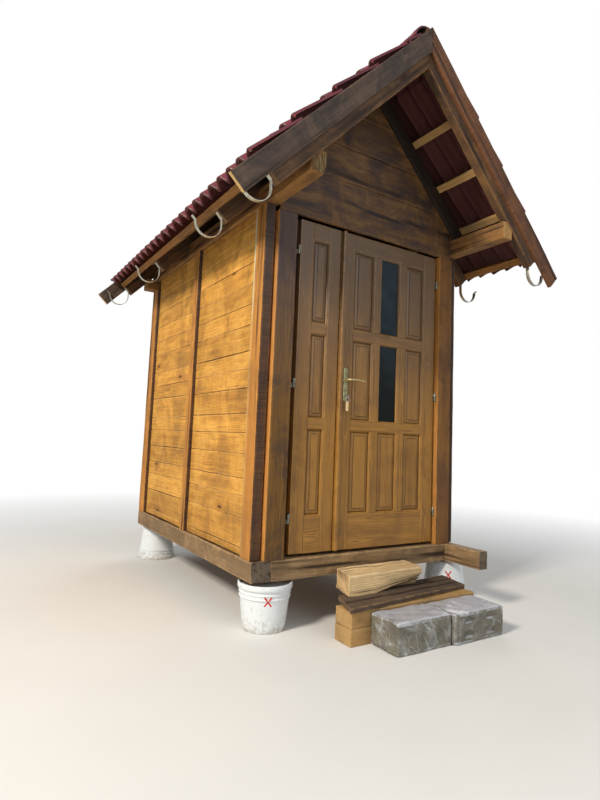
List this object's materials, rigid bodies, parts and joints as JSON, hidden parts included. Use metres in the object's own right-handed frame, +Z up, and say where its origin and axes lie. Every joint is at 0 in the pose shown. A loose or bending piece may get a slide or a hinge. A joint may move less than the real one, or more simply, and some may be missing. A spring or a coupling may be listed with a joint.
{
  "type": "outhouse",
  "caption": "Small timber outhouse on bucket footings with a steep tiled gable roof, boarded walls and a panelled double door.",
  "frame": {"origin": "on the ground under the middle of the box around the whole building", "axes": "+Z up, -Y out of the door's front, +X to the right of someone facing the door"},
  "size_m": [2.546, 2.891, 3.634],
  "materials": {
    "bucket_plastic": "dirty white",
    "raw_timber": "weathered, raw",
    "sill_timber": "weathered",
    "stained_timber": "red-brown stain",
    "wall_boards": "golden-brown stain",
    "gable_boards": "dark brown stain, blotched",
    "door_varnish": "satin varnish",
    "door_glass": "dark",
    "roof_tiles": "burgundy engobe",
    "galvanised_steel": "galvanised",
    "zinc_steel": "zinc plated",
    "handle_brass": "worn",
    "concrete": "rough grey"
  },
  "bodies": {
    "house": {"buckets": "bucket_plastic", "footing_packers": "raw_timber", "sill_left": "sill_timber", "sill_right": "sill_timber", "cross_sills": "sill_timber", "floor": "raw_timber", "posts_left": "stained_timber", "posts_right": "stained_timber", "jambs": "stained_timber", "wall_left": "wall_boards", "wall_right": "wall_boards", "wall_back": "wall_boards", "plate_left": "sill_timber", "plate_right": "sill_timber", "tie_beam_back": "sill_timber", "gable_front": "gable_boards", "gable_back": "gable_boards", "rafters_left": "sill_timber", "rafters_right": "sill_timber", "battens_left": "raw_timber", "battens_right": "raw_timber", "eave_boards": "stained_timber", "tiles_left": "roof_tiles", "tiles_right": "roof_tiles", "ridge_board": "raw_timber", "ridge_tiles": "roof_tiles", "bargeboards_left": "gable_boards", "bargeboards_right": "gable_boards", "gutter_hooks_left": "galvanised_steel", "gutter_hooks_right": "galvanised_steel", "hinges_frame": "zinc_steel", "step_timber": "raw_timber", "step_plank": "gable_boards", "step_beams": "raw_timber", "step_blocks": "concrete"},
    "leaf_left": {"door_left_frame": "door_varnish", "door_left_panels": "door_varnish", "hinges_left_leaf": "zinc_steel"},
    "leaf_right": {"door_right_frame": "door_varnish", "door_right_panels": "door_varnish", "door_right_glass": "door_glass", "hinges_right_leaf": "zinc_steel", "handle_plates": "handle_brass", "keys": "zinc_steel"},
    "lever": {"lever_handle": "handle_brass"}
  },
  "joints": [
    {"name": "leaf_left_hinge", "type": "hinge", "parent": "house", "child": "leaf_left", "pos_m": [-0.569, -0.8125, 1.4], "axis": [0, 0, -1], "range_deg": [0, 105]},
    {"name": "leaf_right_hinge", "type": "hinge", "parent": "house", "child": "leaf_right", "pos_m": [0.605, -0.8125, 1.4], "axis": [0, 0, 1], "range_deg": [0, 105]},
    {"name": "lever_pivot", "type": "hinge", "parent": "leaf_right", "child": "lever", "pos_m": [-0.184, -0.7875, 1.461], "axis": [0, 1, 0], "range_deg": [0, 35], "stiffness_Nm_per_rad": 1.5, "springref_deg": -20.05}
  ]
}
